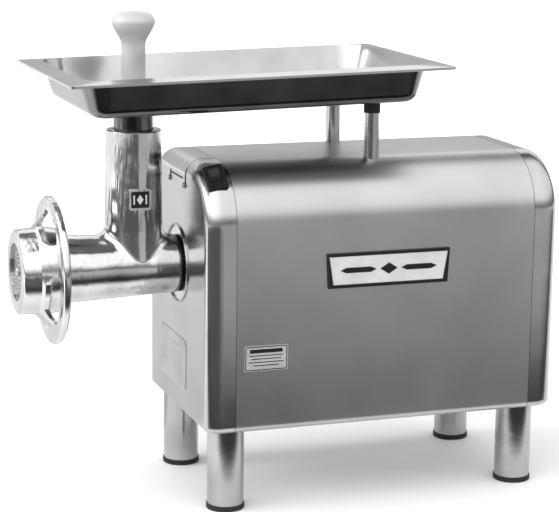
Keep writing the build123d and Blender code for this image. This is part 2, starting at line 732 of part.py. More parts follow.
WORM_FRONT = KNIFE_FRONT + KNIFE_THICK
WORM_BACK = -137.0
WORM_PITCH = 38.0
WORM_CORE = 14.5
COLLAR_RADIUS = 22.0
JOURNAL_LENGTH = 25.0
TANG_LENGTH = 15.0
TANG_SQUARE = 15.8
FLIGHT_START = WORM_FRONT + 5
FLIGHT_REACH = 17.5
with BuildPart() as worm:
    with BuildSketch(Plane.YZ.offset(WORM_FRONT)):
        with Locations(OUTPUT):
            Circle(WORM_CORE)
    extrude(amount=WORM_BACK - WORM_FRONT)
    with BuildSketch(Plane.YZ.offset(WORM_BACK)):
        with Locations(OUTPUT):
            Circle(JOURNAL_RADIUS)
    extrude(amount=JOURNAL_LENGTH)
    with BuildSketch(Plane.YZ.offset(WORM_BACK)):
        with Locations(OUTPUT):
            Circle(COLLAR_RADIUS)
    extrude(amount=-4)
    with BuildSketch(Plane.YZ.offset(WORM_BACK + JOURNAL_LENGTH)):
        with Locations(OUTPUT):
            Rectangle(TANG_SQUARE, TANG_SQUARE)
    extrude(amount=TANG_LENGTH)
    with BuildLine() as flight_path:
        Helix(
            WORM_PITCH,
            WORM_BACK - WORM_FRONT - 14,
            WORM_CORE - 0.5,
            center=(FLIGHT_START, 0, AXIS_Z),
            direction=(1, 0, 0),
        )
    flight_start = flight_path.line @ 0
    flight_out = flight_start - Vector(FLIGHT_START, 0, AXIS_Z)
    with BuildSketch(Plane(origin=flight_start, x_dir=flight_out, z_dir=flight_path.line % 0)):
        with BuildLine():
            Polyline((-1, -4), (-1, 4), (FLIGHT_REACH, 2.2), (FLIGHT_REACH, -2.2), close=True)
        make_face()
    sweep(path=flight_path.line, is_frenet=True)
finish(worm.part, "worm")

with BuildPart() as worm_stud:
    with BuildSketch(Plane.YZ.offset(WORM_FRONT)):
        with Locations(OUTPUT):
            Rectangle(KNIFE_SQUARE, KNIFE_SQUARE)
    extrude(amount=-KNIFE_THICK)
    with BuildSketch(Plane.YZ.offset(KNIFE_FRONT)):
        with Locations(OUTPUT):
            Circle(STUD_RADIUS)
    extrude(amount=OUTLET_X + 1.5 - KNIFE_FRONT)
    chamfer(worm_stud.edges().group_by(Axis.X)[0], 1)
finish(worm_stud.part, "worm_stud")

with BuildPart() as thrust_washer:
    with BuildSketch(Plane.YZ.offset(WORM_BACK + 0.3)):
        with Locations(OUTPUT):
            Circle(COLLAR_RADIUS + 2)
            Circle(JOURNAL_RADIUS + 0.4, mode=Mode.SUBTRACT)
    extrude(amount=BORE_BACK - WORM_BACK - 0.3)
finish(thrust_washer.part, "thrust_washer")

MOUTH_RADIUS = 37.2
SNOUT_RADIUS = 54.4
WHEEL_RADIUS = 95.5
WHEEL_INNER = 84.0
WHEEL_FRONT = -309.0
NUT_BACK = -299.0
WINDOW_COUNT = 4
WINDOW_OUTER = 79.0
WINDOW_INNER = 59.5
WINDOW_FIRST = 113.5
WINDOW_OUTER_HALF = 38.0
WINDOW_INNER_HALF = 18.0
with BuildSketch() as window:
    with BuildLine():
        outer = CenterArc((0, 0), WINDOW_OUTER, -WINDOW_OUTER_HALF, 2 * WINDOW_OUTER_HALF)
        inner = CenterArc((0, 0), WINDOW_INNER, -WINDOW_INNER_HALF, 2 * WINDOW_INNER_HALF)
        Line(outer @ 0, inner @ 0)
        Line(outer @ 1, inner @ 1)
    make_face()
    fillet(window.vertices(), 7)
window_turns = [WINDOW_FIRST + turn * 360 / WINDOW_COUNT for turn in range(WINDOW_COUNT)]

with BuildPart() as ring_nut:
    with BuildSketch(Plane.XZ):
        with BuildLine():
            Polyline(
                (OUTLET_X, AXIS_Z + MOUTH_RADIUS),
                (OUTLET_X, AXIS_Z + SNOUT_RADIUS),
                (-328, AXIS_Z + 56),
                (WHEEL_FRONT - 2, AXIS_Z + 73),
                (WHEEL_FRONT, AXIS_Z + WHEEL_INNER),
                (WHEEL_FRONT, AXIS_Z + WHEEL_RADIUS),
                (NUT_BACK, AXIS_Z + WHEEL_RADIUS),
                (NUT_BACK, AXIS_Z + WHEEL_INNER),
                (NUT_BACK - 5, AXIS_Z + 75),
                (-319.5, AXIS_Z + 58),
                (NUT_BACK, AXIS_Z + 54.5),
                (NUT_BACK, AXIS_Z + BOSS_RADIUS + 0.3),
                (PLATE_FRONT - 0.3, AXIS_Z + BOSS_RADIUS + 0.3),
                (PLATE_FRONT - 0.3, AXIS_Z + MOUTH_RADIUS),
                close=True,
            )
        make_face()
    revolve(axis=grind_axis)
    fillet(
        ring_nut.edges().filter_by(GeomType.CIRCLE).filter_by(
            lambda edge: min(abs(edge.radius - WHEEL_RADIUS), abs(edge.radius - SNOUT_RADIUS)) < 0.1
        ),
        3.5,
    )
    with BuildSketch(Plane.YZ.offset(-335)):
        with Locations(OUTPUT):
            for turn in window_turns:
                add(window.sketch, rotation=turn)
    extrude(amount=40, mode=Mode.SUBTRACT)
finish(ring_nut.part, "ring_nut")

# ---------------------------------------------------------------- gearbox

HUB_FACE = CASE_FRONT + 0.5
WALL_FRONT = -108.0
BOX_FRONT = -91.0
COVER_FRONT = -28.0
COVER_BACK = -12.0
SEAL_FRONT = -112.0
SEAL_BACK = -105.0
SEAL_RADIUS = 26.0
OUTPUT_BEARING_RADIUS = 31.0
OUTPUT_BEARING_WIDTH = 14.0
COUNTER_BEARING_RADIUS = 21.0
COUNTER_BEARING_WIDTH = 12.0
COUNTER_RADIUS = 10.0
ROTOR_SHAFT_RADIUS = 12.0
MOTOR_BEARING_RADIUS = 26.0
MOTOR_BEARING_WIDTH = 13.0
CASE_WALL = 8.0
CASE_FOOT_Y = 10.0


def box_outline(x, grow):
    """Gearbox outline: one skin stretched round the three shafts."""
    with BuildSketch(Plane.YZ.offset(x)) as face:
        with Locations(OUTPUT):
            Circle(68 + grow)
        with Locations(COUNTER):
            Circle(54 + grow)
        with Locations(MOTOR):
            Circle(50 + grow)
        make_hull()
    return face.sketch


with BuildPart() as gear_case:
    extrude(box_outline(WALL_FRONT, CASE_WALL), amount=COVER_FRONT - WALL_FRONT)
    for foot_width, foot_height in ((120, 14), (70, 50)):
        with BuildSketch(Plane.XY.offset(BASE_TOP)):
            with Locations(((WALL_FRONT + COVER_FRONT) / 2, CASE_FOOT_Y)):
                Rectangle(COVER_FRONT - WALL_FRONT, foot_width)
        extrude(amount=foot_height)
    extrude(box_outline(BOX_FRONT, 0), amount=COVER_FRONT - BOX_FRONT, mode=Mode.SUBTRACT)
    with BuildSketch(Plane.YZ.offset(HUB_FACE)):
        with Locations(OUTPUT):
            Circle(HUB_HOLE_RADIUS - 0.6)
    extrude(amount=WALL_FRONT - HUB_FACE)
    for start, stop, radius in (
        (HUB_FACE, SEAL_FRONT, SPIGOT_RADIUS + 0.2),
        (SEAL_FRONT, SEAL_BACK, SEAL_RADIUS),
        (SEAL_BACK, BOX_FRONT, OUTPUT_BEARING_RADIUS),
    ):
        with BuildSketch(Plane.YZ.offset(start)):
            with Locations(OUTPUT):
                Circle(radius)
        extrude(amount=stop - start, mode=Mode.SUBTRACT)
    with BuildSketch(Plane.YZ.offset(BOX_FRONT - COUNTER_BEARING_WIDTH)):
        with Locations(COUNTER):
            Circle(COUNTER_BEARING_RADIUS)
    extrude(amount=COUNTER_BEARING_WIDTH, mode=Mode.SUBTRACT)
finish(gear_case.part, "gear_case")

with BuildPart() as gear_case_cover:
    extrude(box_outline(COVER_FRONT, CASE_WALL), amount=COVER_BACK - COVER_FRONT)
    with BuildSketch(Plane.YZ.offset(COVER_FRONT)):
        with Locations(MOTOR):
            Circle(MOTOR_RADIUS)
    extrude(amount=COVER_BACK - COVER_FRONT)
    for centre, radius, depth in (
        (OUTPUT, OUTPUT_BEARING_RADIUS, OUTPUT_BEARING_WIDTH),
        (COUNTER, COUNTER_BEARING_RADIUS, COUNTER_BEARING_WIDTH),
        (MOTOR, MOTOR_BEARING_RADIUS, OUTPUT_BEARING_WIDTH),
    ):
        with BuildSketch(Plane.YZ.offset(COVER_FRONT)):
            with Locations(centre):
                Circle(radius)
        extrude(amount=depth, mode=Mode.SUBTRACT)
    with BuildSketch(Plane.YZ.offset(COVER_BACK - 3)):
        with Locations(MOTOR):
            Circle(ROTOR_SHAFT_RADIUS + 2)
    extrude(amount=4, mode=Mode.SUBTRACT)
finish(gear_case_cover.part, "gear_case_cover")

bolt_places = [
    (centre[0] + reach * cos(radians(angle)), centre[1] + reach * sin(radians(angle)))
    for centre, reach, angles in ((OUTPUT, 72, (40, 90, 140, 190)), (COUNTER, 58, (12, -35)))
    for angle in angles
]
with BuildPart() as gear_case_bolts:
    with BuildSketch(Plane.YZ.offset(COVER_BACK)):
        with Locations(*bolt_places):
            RegularPolygon(6, 6)
    extrude(amount=5)
finish(gear_case_bolts.part, "gear_case_bolts")

SHAFT_FRONT = SEAL_FRONT + 0.5
with BuildPart() as output_shaft:
    with BuildSketch(Plane.YZ.offset(SHAFT_FRONT)):
        with Locations(OUTPUT):
            Circle(SHAFT_RADIUS)
    extrude(amount=COVER_FRONT + OUTPUT_BEARING_WIDTH - 1 - SHAFT_FRONT)
    with BuildSketch(Plane.YZ.offset(SHAFT_FRONT)):
        with Locations(OUTPUT):
            Rectangle(TANG_SQUARE + 0.2, TANG_SQUARE + 0.2)
    extrude(amount=TANG_LENGTH + 1, mode=Mode.SUBTRACT)
finish(output_shaft.part, "output_shaft")

with BuildPart() as shaft_seal:
    with BuildSketch(Plane.YZ.offset(SEAL_FRONT)):
        with Locations(OUTPUT):
            Circle(SEAL_RADIUS)
            Circle(SHAFT_RADIUS + RUN_FIT, mode=Mode.SUBTRACT)
    extrude(amount=SEAL_BACK - SEAL_FRONT)
finish(shaft_seal.part, "shaft_seal")


RACEWAY = 1.5


def bearing_group(name, shaft_centre, starts, width, outer, bore):
    """Two identical ball bearings on one shaft, each a ring with a raceway groove on both sides."""
    with BuildPart() as bearings:
        for start in starts:
            with BuildSketch(Plane.YZ.offset(start)):
                with Locations(shaft_centre):
                    Circle(outer)
                    Circle(bore + RUN_FIT, mode=Mode.SUBTRACT)
            extrude(amount=width)
            for groove in (start, start + width - RACEWAY):
                with BuildSketch(Plane.YZ.offset(groove)):
                    with Locations(shaft_centre):
                        Circle(bore + (outer - bore) * 0.68)
                        Circle(bore + (outer - bore) * 0.36, mode=Mode.SUBTRACT)
                extrude(amount=RACEWAY, mode=Mode.SUBTRACT)
    finish(bearings.part, name)


bearing_group(
    "output_bearings",
    OUTPUT,
    (SEAL_BACK, COVER_FRONT),
    OUTPUT_BEARING_WIDTH,
    OUTPUT_BEARING_RADIUS,
    SHAFT_RADIUS,
)
bearing_group(
    "counter_bearings",
    COUNTER,
    (BOX_FRONT - COUNTER_BEARING_WIDTH, COVER_FRONT),
    COUNTER_BEARING_WIDTH,
    COUNTER_BEARING_RADIUS,
    COUNTER_RADIUS,
)

SLOW_GEAR_START = -84.0
SLOW_GEAR_WIDTH = 28.0
SLOW_WEB = 7.0
FAST_GEAR_START = -50.0
FAST_GEAR_WIDTH = 18.0
FAST_WEB = 5.0
PINION_MARGIN = 2.0
output_phase = 90.0
counter_direction = -degrees(acos(COUNTER_Y / SLOW_REACH))
slow_pinion_phase = mesh_phase(output_phase, GEAR_TEETH, counter_direction, PINION_TEETH)
motor_direction = 180 + degrees(acos(COUNTER_Y / FAST_REACH))
fast_gear_phase = 90.0
motor_pinion_phase = mesh_phase(fast_gear_phase, GEAR_TEETH, motor_direction, PINION_TEETH)


def hollowed_gear(face, centre, start, width, bore, web, rim, hub):
    """Gear with a bored hub, and both faces dished between the rim and the hub."""
    with BuildPart() as gear:
        extrude(face, amount=width)
        with BuildSketch(Plane.YZ.offset(start)):
            with Locations(centre):
                Circle(bore)
        extrude(amount=width, mode=Mode.SUBTRACT)
        for dish in (start, start + width - web):
            with BuildSketch(Plane.YZ.offset(dish)):
                with Locations(centre):
                    Circle(rim)
                    Circle(hub, mode=Mode.SUBTRACT)
            extrude(amount=web, mode=Mode.SUBTRACT)
    return gear.part


slow_gear_face = gear_face(GEAR_TEETH, SLOW_MODULE, output_phase, OUTPUT, SLOW_GEAR_START)
output_gear = hollowed_gear(
    slow_gear_face, OUTPUT, SLOW_GEAR_START, SLOW_GEAR_WIDTH, SHAFT_RADIUS, SLOW_WEB, 50, 28
)
finish(output_gear, "output_gear")

fast_gear_face = gear_face(GEAR_TEETH, FAST_MODULE, fast_gear_phase, COUNTER, FAST_GEAR_START)
counter_gear = hollowed_gear(
    fast_gear_face, COUNTER, FAST_GEAR_START, FAST_GEAR_WIDTH, COUNTER_RADIUS, FAST_WEB, 39, 19
)
finish(counter_gear, "counter_gear")

COUNTER_SHAFT_START = BOX_FRONT - COUNTER_BEARING_WIDTH + 0.5
COUNTER_SHAFT_STOP = COVER_FRONT + COUNTER_BEARING_WIDTH - 0.5
slow_pinion_start = SLOW_GEAR_START - PINION_MARGIN
with BuildPart() as counter_shaft:
    with BuildSketch(Plane.YZ.offset(COUNTER_SHAFT_START)):
        with Locations(COUNTER):
            Circle(COUNTER_RADIUS)
    extrude(amount=COUNTER_SHAFT_STOP - COUNTER_SHAFT_START)
    extrude(
        gear_face(PINION_TEETH, SLOW_MODULE, slow_pinion_phase, COUNTER, slow_pinion_start),
        amount=SLOW_GEAR_WIDTH + 2 * PINION_MARGIN,
    )
finish(counter_shaft.part, "counter_shaft")

# ---------------------------------------------------------------- motor

MOTOR_BACK = 228.0
BELL_THICK = 16.0
CORE_START = 40.0
CORE_LENGTH = 140.0
ROTOR_RADIUS = 41.4
AIR_GAP = 0.6
SHELL_WALL = 4.0
END_TURN = 20.0
SHAFT_TAIL = 34.0

with BuildPart() as rotor_shaft:
    with BuildSketch(Plane.YZ.offset(COVER_FRONT)):
        with Locations(MOTOR):
            Circle(ROTOR_SHAFT_RADIUS)
    extrude(amount=MOTOR_BACK + BELL_THICK + SHAFT_TAIL - COVER_FRONT)
    fast_pinion_start = FAST_GEAR_START - PINION_MARGIN
    fast_pinion_stop = FAST_GEAR_START + FAST_GEAR_WIDTH + PINION_MARGIN
    extrude(
        gear_face(PINION_TEETH, FAST_MODULE, motor_pinion_phase, MOTOR, fast_pinion_start),
        amount=fast_pinion_stop - fast_pinion_start,
    )
    with BuildSketch(Plane.YZ.offset(fast_pinion_stop)):
        with Locations(MOTOR):
            Circle(ROTOR_SHAFT_RADIUS)
    extrude(amount=COVER_FRONT - fast_pinion_stop)
finish(rotor_shaft.part, "rotor_shaft")

with BuildPart() as rotor_core:
    with BuildSketch(Plane.YZ.offset(CORE_START)):
        with Locations(MOTOR):
            Circle(ROTOR_RADIUS)
            Circle(ROTOR_SHAFT_RADIUS, mode=Mode.SUBTRACT)
    extrude(amount=CORE_LENGTH)
finish(rotor_core.part, "rotor_core")

with BuildPart() as stator_core:
    with BuildSketch(Plane.YZ.offset(CORE_START)):
        with Locations(MOTOR):
            Circle(MOTOR_RADIUS - SHELL_WALL)
            Circle(ROTOR_RADIUS + AIR_GAP, mode=Mode.SUBTRACT)
    extrude(amount=CORE_LENGTH)
finish(stator_core.part, "stator_core")

with BuildPart() as stator_windings:
    for start in (CORE_START - END_TURN, CORE_START + CORE_LENGTH):
        with BuildSketch(Plane.YZ.offset(start)):
            with Locations(MOTOR):
                Circle(67)
                Circle(48, mode=Mode.SUBTRACT)
        extrude(amount=END_TURN)
    fillet(stator_windings.edges().group_by(Axis.X)[0], 6)
    fillet(stator_windings.edges().group_by(Axis.X)[-1], 6)
finish(stator_windings.part, "stator_windings")

with BuildPart() as motor_shell:
    with BuildSketch(Plane.YZ.offset(COVER_BACK)):
        with Locations(MOTOR):
            Circle(MOTOR_RADIUS)
            Circle(MOTOR_RADIUS - SHELL_WALL, mode=Mode.SUBTRACT)
    extrude(amount=MOTOR_BACK - COVER_BACK)
    with BuildSketch(Plane.YZ.offset(CORE_START)):
        with Locations(MOTOR):
            with PolarLocations(MOTOR_RADIUS - 0.5, 20, start_angle=9):
                Rectangle(5, 2.5)
    extrude(amount=CORE_LENGTH)
finish(motor_shell.part, "motor_shell")

with BuildPart() as motor_end_bell:
    with BuildSketch(Plane.YZ.offset(MOTOR_BACK)):
        with Locations(MOTOR):
            Circle(MOTOR_RADIUS)
    extrude(amount=BELL_THICK)
    fillet(motor_end_bell.edges().group_by(Axis.X)[-1], 8)
    with BuildSketch(Plane.YZ.offset(MOTOR_BACK)):
        with Locations(MOTOR):
            Circle(MOTOR_BEARING_RADIUS)
    extrude(amount=MOTOR_BEARING_WIDTH + 1, mode=Mode.SUBTRACT)
    with BuildSketch(Plane.YZ.offset(MOTOR_BACK)):
        with Locations(MOTOR):
            Circle(ROTOR_SHAFT_RADIUS + 2)
            with PolarLocations(48, 8):
                Circle(9)
    extrude(amount=BELL_THICK, mode=Mode.SUBTRACT)
finish(motor_end_bell.part, "motor_end_bell")

bearing_group(
    "motor_bearings",
    MOTOR,
    (COVER_FRONT, MOTOR_BACK),
    MOTOR_BEARING_WIDTH,
    MOTOR_BEARING_RADIUS,
    ROTOR_SHAFT_RADIUS,
)

FAN_START = MOTOR_BACK + BELL_THICK + 6
FAN_DISC = 3.0
FAN_RADIUS = 62.0
VANE_START = 15.0
VANE_STOP = 60.0
VANE_COUNT = 9
VANE_DEPTH = 17.0
with BuildPart() as motor_fan:
    with BuildSketch(Plane.YZ.offset(FAN_START)):
        with Locations(MOTOR):
            Circle(FAN_RADIUS)
            Circle(ROTOR_SHAFT_RADIUS, mode=Mode.SUBTRACT)
    extrude(amount=FAN_DISC)
    with BuildSketch(Plane.YZ.offset(FAN_START + FAN_DISC)):
        with Locations(MOTOR):
            Circle(20)
            Circle(ROTOR_SHAFT_RADIUS, mode=Mode.SUBTRACT)
            with PolarLocations((VANE_START + VANE_STOP) / 2, VANE_COUNT):
                Rectangle(VANE_STOP - VANE_START, 2.5)
    extrude(amount=VANE_DEPTH)
finish(motor_fan.part, "motor_fan")

SADDLE_XS = (24, 202)
with BuildPart() as motor_cradle:
    with BuildSketch(Plane.XY.offset(BASE_TOP)):
        with Locations(*[(saddle_x, 0) for saddle_x in SADDLE_XS]):
            Rectangle(24, 130)
    extrude(amount=40)
    with BuildSketch(Plane.YZ.offset(0)):
        with Locations(MOTOR):
            Circle(MOTOR_RADIUS)
    extrude(amount=230, mode=Mode.SUBTRACT)
finish(motor_cradle.part, "motor_cradle")

CAPACITOR_X = 305.0
CAPACITOR_Y = -62.0
CAPACITOR_HEIGHT = 112.0
with BuildPart() as run_capacitor:
    with BuildSketch(Plane.XY.offset(BASE_TOP)):
        with Locations((CAPACITOR_X, CAPACITOR_Y)):
            Circle(23)
    extrude(amount=CAPACITOR_HEIGHT)
    fillet(run_capacitor.edges().group_by(Axis.Z)[-1], 3)
    with BuildSketch(Plane.XY.offset(BASE_TOP + CAPACITOR_HEIGHT)):
        with Locations((CAPACITOR_X, CAPACITOR_Y)):
            with GridLocations(0, 16, 1, 2):
                Rectangle(6, 0.9)
    extrude(amount=9)
finish(run_capacitor.part, "run_capacitor")

CONTACTOR_PLACE = (318, 30)
with BuildPart() as motor_contactor:
    with BuildSketch(Plane.XY.offset(BASE_TOP)):
        with Locations(CONTACTOR_PLACE):
            Rectangle(44, 62)
    extrude(amount=70)
    fillet(motor_contactor.edges().group_by(Axis.Z)[-1], 2)
finish(motor_contactor.part, "motor_contactor")

GLAND_INNER = 8.0
with BuildPart() as cord_gland:
    with BuildSketch(Plane.YZ.offset(CASE_BACK - SKIN - GLAND_INNER)):
        with Locations(GLAND_PLACE):
            Circle(GLAND_RADIUS)
            Circle(GLAND_BORE, mode=Mode.SUBTRACT)
    extrude(amount=GLAND_INNER + SKIN)
    with BuildSketch(Plane.YZ.offset(CASE_BACK - SKIN)):
        with Locations(GLAND_PLACE):
            RegularPolygon(GLAND_RADIUS + 4, 6)
            Circle(GLAND_BORE, mode=Mode.SUBTRACT)
    extrude(amount=-5)
finish(cord_gland.part, "cord_gland")
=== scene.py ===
import json
from math import cos, radians, sin

import bmesh
import bpy
from mathutils import Matrix, Vector


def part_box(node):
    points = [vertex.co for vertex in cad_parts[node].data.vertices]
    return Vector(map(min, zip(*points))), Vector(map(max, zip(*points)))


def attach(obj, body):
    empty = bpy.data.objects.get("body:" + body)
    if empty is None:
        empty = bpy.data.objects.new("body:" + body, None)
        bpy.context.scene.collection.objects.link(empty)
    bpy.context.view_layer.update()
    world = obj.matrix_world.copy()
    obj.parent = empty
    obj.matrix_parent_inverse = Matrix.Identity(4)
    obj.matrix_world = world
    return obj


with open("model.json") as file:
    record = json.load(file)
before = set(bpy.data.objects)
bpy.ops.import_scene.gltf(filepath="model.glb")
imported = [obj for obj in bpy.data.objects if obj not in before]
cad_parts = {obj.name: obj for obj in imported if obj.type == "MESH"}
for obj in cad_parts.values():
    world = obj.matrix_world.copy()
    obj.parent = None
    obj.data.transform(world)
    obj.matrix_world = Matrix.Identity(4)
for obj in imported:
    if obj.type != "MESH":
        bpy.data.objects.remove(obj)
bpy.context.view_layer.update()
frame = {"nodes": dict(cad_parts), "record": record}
nodes = frame["nodes"]
MM = 0.001

# ---------------------------------------------------------------- node graphs


class Graph:
    """A node tree, with short calls for the nodes that repeat."""

    def __init__(self, tree):
        self.tree = tree

    def add(self, kind, **settings):
        node = self.tree.nodes.new(kind)
        for name, value in settings.items():
            setattr(node, name, value)
        return node

    def put(self, socket, value):
        """Links the socket to an output, or sets it to a constant."""
        if hasattr(value, "is_linked"):
            self.tree.links.new(value, socket)
        else:
            socket.default_value = value

    def parts(self, vector):
        """A vector's X, Y and Z."""
        node = self.add("ShaderNodeSeparateXYZ")
        self.put(node.inputs[0], vector)
        return node.outputs

    def span(self, value, low, high, start=0.0, stop=1.0, ease="LINEAR"):
        """Maps value from start..stop to low..high."""
        node = self.add("ShaderNodeMapRange", interpolation_type=ease)
        self.put(node.inputs["Value"], value)
        ends = {"From Min": start, "From Max": stop, "To Min": low, "To Max": high}
        for name, number in ends.items():
            node.inputs[name].default_value = number
        return node.outputs["Result"]

    def combine(self, first, second, kind="ADD"):
        node = self.add("ShaderNodeMath", operation=kind)
        self.put(node.inputs[0], first)
        self.put(node.inputs[1], second)
        return node.outputs[0]


class Paint(Graph):
    """A material's node graph in object space, with constants on the shader's own sockets."""

    # The Mix node repeats its socket names for each kind of data, so colours go by number.
    MIX_FIRST, MIX_SECOND, MIX_RESULT = 6, 7, 2

    def __init__(self, name, metallic=1.0, **constants):
        self.material = bpy.data.materials.new(name)
        self.material.use_nodes = True
        super().__init__(self.material.node_tree)
        self.shader = self.tree.nodes["Principled BSDF"]
        self.shader.inputs["Metallic"].default_value = metallic
        for socket, value in constants.items():
            self.shader.inputs[socket.replace("_", " ")].default_value = value
        self.place = self.add("ShaderNodeTexCoord").outputs["Object"]

    def noise(self, scale, detail, stretch=None):
        """Noise over the object, finer along the axes that stretch makes longer."""
        node = self.add("ShaderNodeTexNoise")
        where = self.place
        if stretch:
            mapping = self.add("ShaderNodeMapping")
            self.put(mapping.inputs["Vector"], self.place)
            mapping.inputs["Scale"].default_value = stretch
            where = mapping.outputs["Vector"]
        self.put(node.inputs["Vector"], where)
        node.inputs["Scale"].default_value = scale
        node.inputs["Detail"].default_value = detail
        return node.outputs["Fac"]

    def wave(self, scale, distortion, kind="BANDS"):
        """Bands along the X axis, or rings round it."""
        node = self.add(
            "ShaderNodeTexWave", wave_type=kind, bands_direction="X", rings_direction="X"
        )
        self.put(node.inputs["Vector"], self.place)
        node.inputs["Scale"].default_value = scale
        node.inputs["Distortion"].default_value = distortion
        return node.outputs["Fac"]

    def ramp(self, value, dark, light, start=0.3, stop=0.7):
        """Colour between dark and light as value goes from start to stop."""
        node = self.add("ShaderNodeValToRGB")
        self.put(node.inputs["Fac"], value)
        low, high = node.color_ramp.elements
        low.position, high.position = start, stop
        low.color, high.color = (*dark, 1), (*light, 1)
        return node.outputs["Color"]

    def mix(self, share, first, second):
        """First colour at share 0, second at share 1."""
        node = self.add("ShaderNodeMix", data_type="RGBA")
        self.put(node.inputs["Factor"], share)
        self.put(node.inputs[self.MIX_FIRST], first)
        self.put(node.inputs[self.MIX_SECOND], second)
        return node.outputs[self.MIX_RESULT]

    def normal(self):
        """The surface's own normal."""
        return self.add("ShaderNodeNewGeometry").outputs["Normal"]

    def edges(self, radius, share):
        """Up to share on worn edges: where the bevelled normal leaves the true one."""
        bevel = self.add("ShaderNodeBevel", samples=4)
        bevel.inputs["Radius"].default_value = radius
        turn = self.add("ShaderNodeVectorMath", operation="DOT_PRODUCT")
        self.put(turn.inputs[0], bevel.outputs[0])
        self.put(turn.inputs[1], self.normal())
        return self.span(turn.outputs["Value"], share, 0, 0.9, 1.0)

    def colour(self, value):
        self.put(self.shader.inputs["Base Color"], value)

    def rough(self, value):
        self.put(self.shader.inputs["Roughness"], value)

    def bump(self, *layers):
        """Stacks (height, depth in metres) layers of relief and gives the finished material."""
        normal = None
        for height, depth in layers:
            node = self.add("ShaderNodeBump")
            self.put(node.inputs["Height"], height)
            node.inputs["Distance"].default_value = depth
            if normal is not None:
                self.put(node.inputs["Normal"], normal)
            normal = node.outputs["Normal"]
        self.put(self.shader.inputs["Normal"], normal)
        return self.material


def grey(value):
    return (value, value, value)


# ---------------------------------------------------------------- materials

GRAIN = 1400.0


def satin_steel():
    """Brushed sheet: fine grain up the sides and across the top, with soft cloudy tone.

    Its roughness stays above 0.27, because Cycles' denoiser treats shinier metal in another way
    and leaves marks where a surface crosses from one to the other.
    """
    paint = Paint("satin_steel")
    grain = paint.noise(1.0, 1, (240, 5, 5))
    cloud = paint.noise(5.0, 4)
    paint.colour(paint.ramp(cloud, grey(0.33), grey(0.67), 0.0, 1.0))
    paint.rough(paint.combine(paint.span(cloud, 0.27, 0.39), paint.span(grain, -0.006, 0.006)))
    return paint.bump((paint.noise(2.2, 1), 0.0016))


def cap_steel():
    """Drawn and polished sheet, with faint polishing lines and a slow wander from the press."""
    paint = Paint("cap_steel")
    lines = paint.noise(1.0, 3, (60, 60, GRAIN))
    wander = paint.noise(9.0, 2)
    paint.colour(paint.ramp(wander, grey(0.44), grey(0.55)))
    paint.rough(paint.combine(paint.span(wander, 0.15, 0.23), paint.span(lines, -0.02, 0.02)))
    return paint.bump((lines, 0.000006), (wander, 0.0009))


def pan_steel():
    """Pressed tray: bright inside; the outside of its walls is duller and darker with painted
    shade.
    """
    paint = Paint("pan_steel")
    lines = paint.noise(1.0, 3, (20, GRAIN, GRAIN))
    wander = paint.noise(11.0, 3)
    facing = paint.parts(paint.normal())
    outside = paint.span(facing["Z"], 1, 0, -0.2, -0.08)
    # Painted shade on the outside: 0.3 on the ends, 0.75 on the corners and 1 on the long walls.
    across = paint.combine(facing["Y"], 2, "POWER")
    long_wall = paint.combine(
        paint.span(across, 0.3, 0.75, 0, 0.35), paint.span(across, 0, 0.25, 0.35, 0.8)
    )
    bottom = paint.span(facing["Z"], 0.6, 0, -0.95, -0.6)
    under = paint.combine(outside, paint.combine(long_wall, bottom, "MAXIMUM"), "MULTIPLY")
    bright = paint.ramp(wander, grey(0.40), grey(0.54))
    # Painted shade: a dark copy of the tray's tone for the outside of its walls, in place of the
    # dark floor they mirror.
    dull = paint.ramp(wander, grey(0.07), grey(0.15))
    paint.colour(paint.mix(under, bright, dull))
    paint.rough(paint.combine(paint.span(wander, 0.15, 0.23), paint.span(lines, -0.02, 0.02)))
    return paint.bump((lines, 0.000008), (wander, 0.0008))


def collar_steel():
    """Sleeve under the tray, coloured dark as painted shade from the tray above, and streaked down
    its length.
    """
    paint = Paint("collar_steel")
    streak = paint.noise(60.0, 3, (1, 1, 0.1))
    # Painted shade: the dark end of this ramp stands in for the shade under the tray.
    paint.colour(paint.ramp(streak, grey(0.05), grey(0.3), 0.42, 0.72))
    paint.rough(paint.span(streak, 0.15, 0.25))
    return paint.bump((streak, 0.0002))


def tube_steel():
    """Polished tube, with faint lines round it from the polishing belt."""
    paint = Paint("tube_steel")
    lines = paint.noise(1.0, 3, (8, 8, GRAIN))
    cloud = paint.noise(18.0, 3)
    paint.colour(paint.ramp(cloud, grey(0.36), grey(0.50)))
    paint.rough(paint.combine(paint.span(cloud, 0.13, 0.2), paint.span(lines, -0.02, 0.04)))
    return paint.bump((lines, 0.00001), (cloud, 0.0006))


def tinned_cast():
    """Cast iron, tinned and buffed by hand.

    It is bright and rippled and streaked up the neck; in the groove before the casing it is painted
    near black, as painted shade.
    """
    paint = Paint("tinned_cast")
    place = paint.parts(paint.place)
    wheel_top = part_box("ring_nut")[1].z
    on_neck = paint.span(place["Z"], 0, 1, wheel_top - 45 * MM, wheel_top - 20 * MM)
    casing_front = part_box("front_cap")[0].x
    past_shoulder = paint.span(
        place["X"], 0, 1, casing_front - 4.5 * MM, casing_front - 3.5 * MM
    )
    before_casing = paint.span(place["X"], 1, 0, casing_front + 0.5 * MM, casing_front + 1 * MM)
    painted_groove_shade = paint.combine(past_shoulder, before_casing, "MULTIPLY")
    ripple = paint.noise(24.0, 3, (1, 1, 0.45))
    streak = paint.noise(55.0, 3, (1, 1, 0.1))
    pits = paint.noise(420.0, 2)
    tone = paint.combine(paint.span(ripple, 0, 0.7), paint.span(pits, 0, 0.3))
    tin = paint.ramp(tone, grey(0.48), grey(0.74))
    # Painted shade: near black in the groove before the casing, where shade falls.
    paint.colour(paint.mix(painted_groove_shade, tin, (*grey(0.02), 1)))
    buffed = paint.combine(paint.span(ripple, 0.1, 0.18), paint.span(pits, -0.02, 0.05))
    paint.rough(paint.combine(buffed, paint.span(painted_groove_shade, 0, 0.4)))
    neck_streak = paint.combine(streak, on_neck, "MULTIPLY")
    return paint.bump((pits, 0.00002), (ripple, 0.0022), (neck_streak, 0.004))


